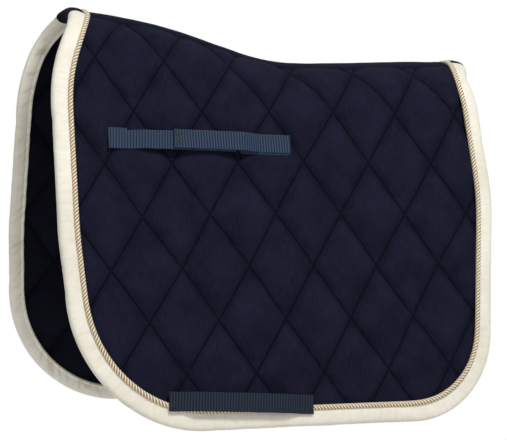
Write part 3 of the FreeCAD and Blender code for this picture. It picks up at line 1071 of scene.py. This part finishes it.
BILLET = keeper_frame("left_billet_front_tab", "left_billet_anchor")
GIRTH = keeper_frame("left_girth_keeper", "left_girth_keeper")
SEAT = 0.75 * MM                                # middle of webbing that lies on the pad
GIRTH_BOW = 6.7 * MM                            # how far the girth keeper's loop rises above its ends


def keeper_height(node, where):
    """Highest point of a keeper's node out from the pad."""
    origin, _, _, out = where
    return float(((node_points(node) - origin) @ out).max())


def node_span(node, where):
    """Lowest and highest place of a node along its keeper."""
    origin, along, _, _ = where
    reach = (node_points(node) - origin) @ along
    return float(reach.min()), float(reach.max())


def make_billet_keeper():
    """Front tab doubled at its front end, and the rear tab that turns over its sewn anchor."""
    bow = keeper_height("left_billet_front_tab", BILLET) - WEB_THICK / 2
    lap = keeper_height("left_billet_rear_tab", BILLET) - WEB_THICK / 2
    _, front_end = node_span("left_billet_front_tab", BILLET)
    tab_start, hinge = node_span("left_billet_rear_tab", BILLET)
    anchor_start, _ = node_span("left_billet_anchor", BILLET)
    doubled = 28 * MM
    front = make_webbing("left_billet_front_tab_webbing", BILLET, [
        (doubled, SEAT), (1.2 * MM, SEAT), (0.6 * MM, SEAT + 0.7 * MM), (1.2 * MM, SEAT + 1.4 * MM),
        (doubled, SEAT + 1.5 * MM), (doubled + 25 * MM, bow), (front_end, bow)], shift=0.9 * MM, seed=1.0)
    fold = make_webbing("left_billet_fold_webbing", BILLET, [
        (1.5 * MM, SEAT + 0.2 * MM), (doubled, SEAT + 0.2 * MM)], shift=-2.2 * MM, seed=4.0)
    over = SEAT + WEB_THICK + 0.35 * MM
    anchor = make_webbing("left_billet_anchor_webbing", BILLET, [
        (anchor_start, SEAT), (hinge - 0.6 * MM, SEAT)], shift=-0.7 * MM, seed=2.0)
    rear = make_webbing("left_billet_rear_tab_webbing", BILLET, [
        (hinge - 0.9 * MM, SEAT + 0.5 * MM), (hinge + 0.2 * MM, (SEAT + over) / 2),
        (hinge - 0.8 * MM, over), (hinge - 46 * MM, over + 0.2 * MM), (hinge - 72 * MM, lap),
        (tab_start, lap)], shift=-0.7 * MM, seed=2.0)
    under = make_webbing("left_billet_under_webbing", BILLET, [
        (hinge - 1.5 * MM, SEAT), (anchor_start + 3 * MM, SEAT)], shift=1.8 * MM, seed=5.0)
    return front, rear, anchor, fold, under


def make_girth_keeper():
    """Fixed loop over the piping, doubled under at each sewn end."""
    low, high = node_span("left_girth_keeper", GIRTH)
    bow = keeper_height("left_girth_keeper", GIRTH) - WEB_THICK / 2
    seat = bow - GIRTH_BOW
    foot = 21 * MM
    return make_webbing("left_girth_keeper_webbing", GIRTH, [
        (foot - 3 * MM, seat - 2.6 * MM), (low + 1.2 * MM, seat - 2.4 * MM),
        (low + 0.5 * MM, seat - 1.2 * MM), (low + 1.0 * MM, seat), (foot, seat),
        (foot + 20 * MM, bow - 0.6 * MM), (high / 2, bow),
        (high - foot - 20 * MM, bow - 0.6 * MM), (high - foot, seat), (high - 1.0 * MM, seat),
        (high - 0.5 * MM, seat - 1.2 * MM), (high - 1.2 * MM, seat - 2.4 * MM),
        (high - foot + 3 * MM, seat - 2.6 * MM)], material=DARK_WEBBING, shift=2.0 * MM, seed=3.0)


# ---------------------------------------------------------------- stitches

def keeper_line(where, corners, height):
    """Points and outward normals through (along, across) corners on a keeper's face at a height."""
    origin, along, across, out = where
    run = run_along(corners)
    flat = resample(corners, run, np.linspace(0, run[-1], max(2, int(run[-1] / MM))))
    points = origin + flat[:, :1] * along + flat[:, 1:] * across + height * out
    return points, np.tile(out, (len(points), 1))


def box_stitch(where, low, high, half, height):
    """A sewn box with a cross in it."""
    box = [(low, -half), (high, -half), (high, half), (low, half), (low, -half)]
    cross = [(low, -half), (high, half)], [(low, half), (high, -half)]
    return [keeper_line(where, corners, height) for corners in (box, *cross)]


def keeper_stitches():
    """Sewn ends of both keepers on the left half that ride with its flap."""
    _, girth_end = node_span("left_girth_keeper", GIRTH)
    seat = keeper_height("left_girth_keeper", GIRTH) - GIRTH_BOW
    half = WEB_WIDTH / 2 - 2 * MM
    lines = box_stitch(GIRTH, girth_end - 19 * MM, girth_end - 2.5 * MM, half, seat + 0.15 * MM)
    for where, along, height in ((GIRTH, 3 * MM, seat + 0.15 * MM), (BILLET, 2.5 * MM, SEAT + 1.55 * MM),
                                 (BILLET, 20 * MM, SEAT + 1.7 * MM)):
        lines.append(keeper_line(where, [(along, -half), (along, half)], height))
    return lines


def tab_stitches():
    """The sewn mark near the free end of the left rear billet tab."""
    start, _ = node_span("left_billet_rear_tab", BILLET)
    face = keeper_height("left_billet_rear_tab", BILLET) + 0.1 * MM
    marks = [(4, -7), (7, -1)], [(7, -1), (5, 4), (9, 7)], [(2.5, -10), (2.5, 10)]
    return [keeper_line(BILLET, [(start + along * MM, across * MM) for along, across in mark], face)
            for mark in marks]


def hem_line():
    """Points along the binding's inner hem on the left half, with normals away from the lining."""
    x, up = up_to_spine(HEM_INSET)
    below = spine_up(x) - up
    x, up = x[below > TUCK], up[below > TUCK]
    points = place(x, up, THICK + HEM_RISE)[::12]
    lifted = place(x, up, THICK + HEM_RISE + 1 * MM)[::12]
    return points, lifted - points


def make_stitches(name, lines, material, pitch, length, radius):
    """Thread stitches along lines of (points, outward normals), each a short bent capsule."""
    vertices, faces = [], []
    rings = [(-0.5, 0.25, -0.6), (-0.42, 0.8, -0.1), (-0.2, 1.0, 0.35), (0.2, 1.0, 0.35),
             (0.42, 0.8, -0.1), (0.5, 0.25, -0.6)]
    sides = 5
    angles = np.arange(sides) * 2 * math.pi / sides
    for points, outward in lines:
        run = run_along(points)
        spots = np.arange(pitch / 2, run[-1] - pitch / 4, pitch)
        middle = resample(points, run, spots)
        normal = unit(resample(outward, run, spots))
        ahead = resample(points, run, spots + length / 2) - resample(points, run, spots - length / 2)
        ahead = unit(ahead)
        side = np.cross(ahead, normal)
        for m, n, a, s in zip(middle, normal, ahead, side):
            start = len(vertices)
            for shift, size, lift in rings:
                centre = m + a * (shift * length) + n * (lift * radius)
                for angle in angles:
                    vertices.append(centre + radius * size * (math.cos(angle) * n + math.sin(angle) * s))
            faces += tube_faces(len(rings), sides, start)
    uvs = np.zeros((len(vertices), 2))
    uvs[:, 0] = np.arange(len(vertices)) % sides * radius
    return make_object(name, vertices, faces, [material], uvs)


# ---------------------------------------------------------------- stage, light and camera

CAMERA_AZIMUTH = math.radians(-22.0)
CAMERA_ELEVATION = math.radians(1.58)
CAMERA_DISTANCE = 2.616
CAMERA_TARGET = Vector((-0.0755, 0.0, -0.2119))
CAMERA_LENS = 130.9
FLOOR_HALF = 5.0
FLOOR_DROP = 0.95                               # how far the floor is below the pad
AMBIENT = 0.4                                   # strength of the even light round the pad


def area_light(name, place_at, target, size, power):
    """A square lamp that points at a target."""
    light = bpy.data.lights.new(name, "AREA")
    light.shape = "RECTANGLE"
    light.size = light.size_y = size
    light.energy = power
    lamp = bpy.data.objects.new(name, light)
    lamp.location = place_at
    lamp.rotation_euler = (Vector(target) - Vector(place_at)).to_track_quat("-Z", "Y").to_euler()
    bpy.context.scene.collection.objects.link(lamp)


def make_stage():
    scene = bpy.context.scene
    scene.view_settings.view_transform = "Standard"
    scene.world = studio_world()
    half, height = FLOOR_HALF, cad_bounds[0].z - FLOOR_DROP
    corners = [(-half, -half, height), (half, -half, height), (half, half, height), (-half, half, height)]
    floor = make_object("floor", corners, [(0, 1, 2, 3)], [])
    shader = Shader("pale_floor", roughness=0.9)
    tone = shader.noise(shader.object_coordinates(), 3, detail=2)
    floor.data.materials.append(shader.finish(shader.colours(tone, (0.9, 0.9, 0.9), (0.95, 0.95, 0.95))))
    area_light("key", (0.3, -1.8, 1.9), (-0.07, 0, -0.2), size=0.6, power=54)
    area_light("fill", (-1.6, -2.1, 0.0), (-0.1, 0, -0.2), size=1.4, power=13)


def studio_world():
    """Soft even light, with a white backdrop behind the pad."""
    world = bpy.data.worlds.new("studio")
    world.use_nodes = True
    tree = world.node_tree
    direction = add_node(tree, "TexCoord", {}).outputs["Generated"]
    ahead = (-math.sin(CAMERA_AZIMUTH), math.cos(CAMERA_AZIMUTH), 0)
    toward = add_node(tree, "VectorMath", {0: direction, 1: ahead}, operation="DOT_PRODUCT")
    backdrop = add_node(tree, "MapRange", {"Value": toward.outputs["Value"], "From Min": 0.86,
                                           "From Max": 0.95, "To Min": AMBIENT, "To Max": 1.0})
    wire(tree, tree.nodes["Background"], {"Strength": backdrop.outputs["Result"], "Color": (1, 1, 1, 1)})
    return world


def make_camera():
    camera = bpy.data.cameras.new("camera")
    camera.sensor_width = 36.0
    camera.lens = CAMERA_LENS
    made = bpy.data.objects.new("camera", camera)
    a, e = CAMERA_AZIMUTH, CAMERA_ELEVATION
    back = Vector((math.sin(a) * math.cos(e), -math.cos(a) * math.cos(e), math.sin(e)))
    made.location = CAMERA_TARGET + back * CAMERA_DISTANCE
    made.rotation_mode = "QUATERNION"
    made.rotation_quaternion = (-back).to_track_quat("-Z", "Y")
    camera.clip_start, camera.clip_end = 0.05, 60
    bpy.context.scene.collection.objects.link(made)
    bpy.context.scene.camera = made


# ---------------------------------------------------------------- the whole pad

def fold_blend(piece):
    """Bakes a piece's transform into its mesh."""
    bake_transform(piece)


def stitch_pieces():
    """The left half's threads, each with its motion and slot."""
    hems = make_stitches("left_hem_stitches", [hem_line()], PALE_THREAD, 3.4 * MM, 2.4 * MM, 0.6 * MM)
    marks = make_stitches("left_billet_tab_stitches", tab_stitches(), BLUE_THREAD,
                          1.3 * MM, 1.6 * MM, 0.6 * MM)
    ends = make_stitches("left_keeper_stitches", keeper_stitches(), BLUE_THREAD,
                         2.6 * MM, 2.1 * MM, 0.28 * MM)
    return [(hems, "fold", "cream_satin"), (marks, "tab", "blue_webbing"), (ends, "flap", "blue_webbing")]


def left_pieces():
    """Each piece of the left half with its motion, its slot and the CAD nodes it stands for."""
    layers = [f"{part}_{layer}" for part in ("top", "flap") for layer in ("cover", "foam", "lining")]
    pieces = [(make_panel(), "fold", "navy_cotton", *layers)]
    for made, slot, kind in ((make_binding(), "cream_satin", "binding"),
                             (make_piping(), "gold_cord", "piping")):
        pieces.append((made, "fold", slot, f"top_front_{kind}", f"top_rear_{kind}", f"flap_{kind}"))
    front_tab, rear_tab, anchor, fold, under = make_billet_keeper()
    return pieces + [
        (front_tab, "flap", "blue_webbing", "billet_front_tab"),
        (rear_tab, "tab", "blue_webbing", "billet_rear_tab"),
        (anchor, "flap", "blue_webbing", "billet_anchor"),
        (make_girth_keeper(), "flap", "blue_webbing", "girth_keeper"),
        (fold, "flap", "blue_webbing"),
        (under, "flap", "blue_webbing"),
    ] + stitch_pieces()


def declare(piece, side, motion, slot, *nodes):
    """Attaches a piece of one half to the body it moves with, or for the fold bakes its transform, and hides the
    CAD nodes it stands for; slot is not used.
    """
    if motion == "fold":
        fold_blend(piece)
    else:
        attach(piece, f"{side}_{motion}")
    if nodes:
        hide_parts(*[f"{side}_{node}" for node in nodes])


def build():
    make_camera()
    make_stage()
    for left, *words in left_pieces():
        right = mirrored(left)
        declare(left, "left", *words)
        declare(right, "right", *words)
    for side in ("left", "right"):
        for node, material in (("billet_loop_patch", PILE), ("billet_hook_patch", HOOKS)):
            patch = frame["nodes"][f"{side}_{node}"]
            patch.data.materials.clear()
            patch.data.materials.append(material)
    for made, node in ((make_cap("spine_front_cap_cloth", True), "spine_front_cap"),
                       (make_cap("spine_rear_cap_cloth", False), "spine_rear_cap"),
                       (make_strip(), "spine_outer_tape"), (make_inner_tape(), "spine_inner_tape")):
        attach(made, "yoke")
        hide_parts(node)


build()
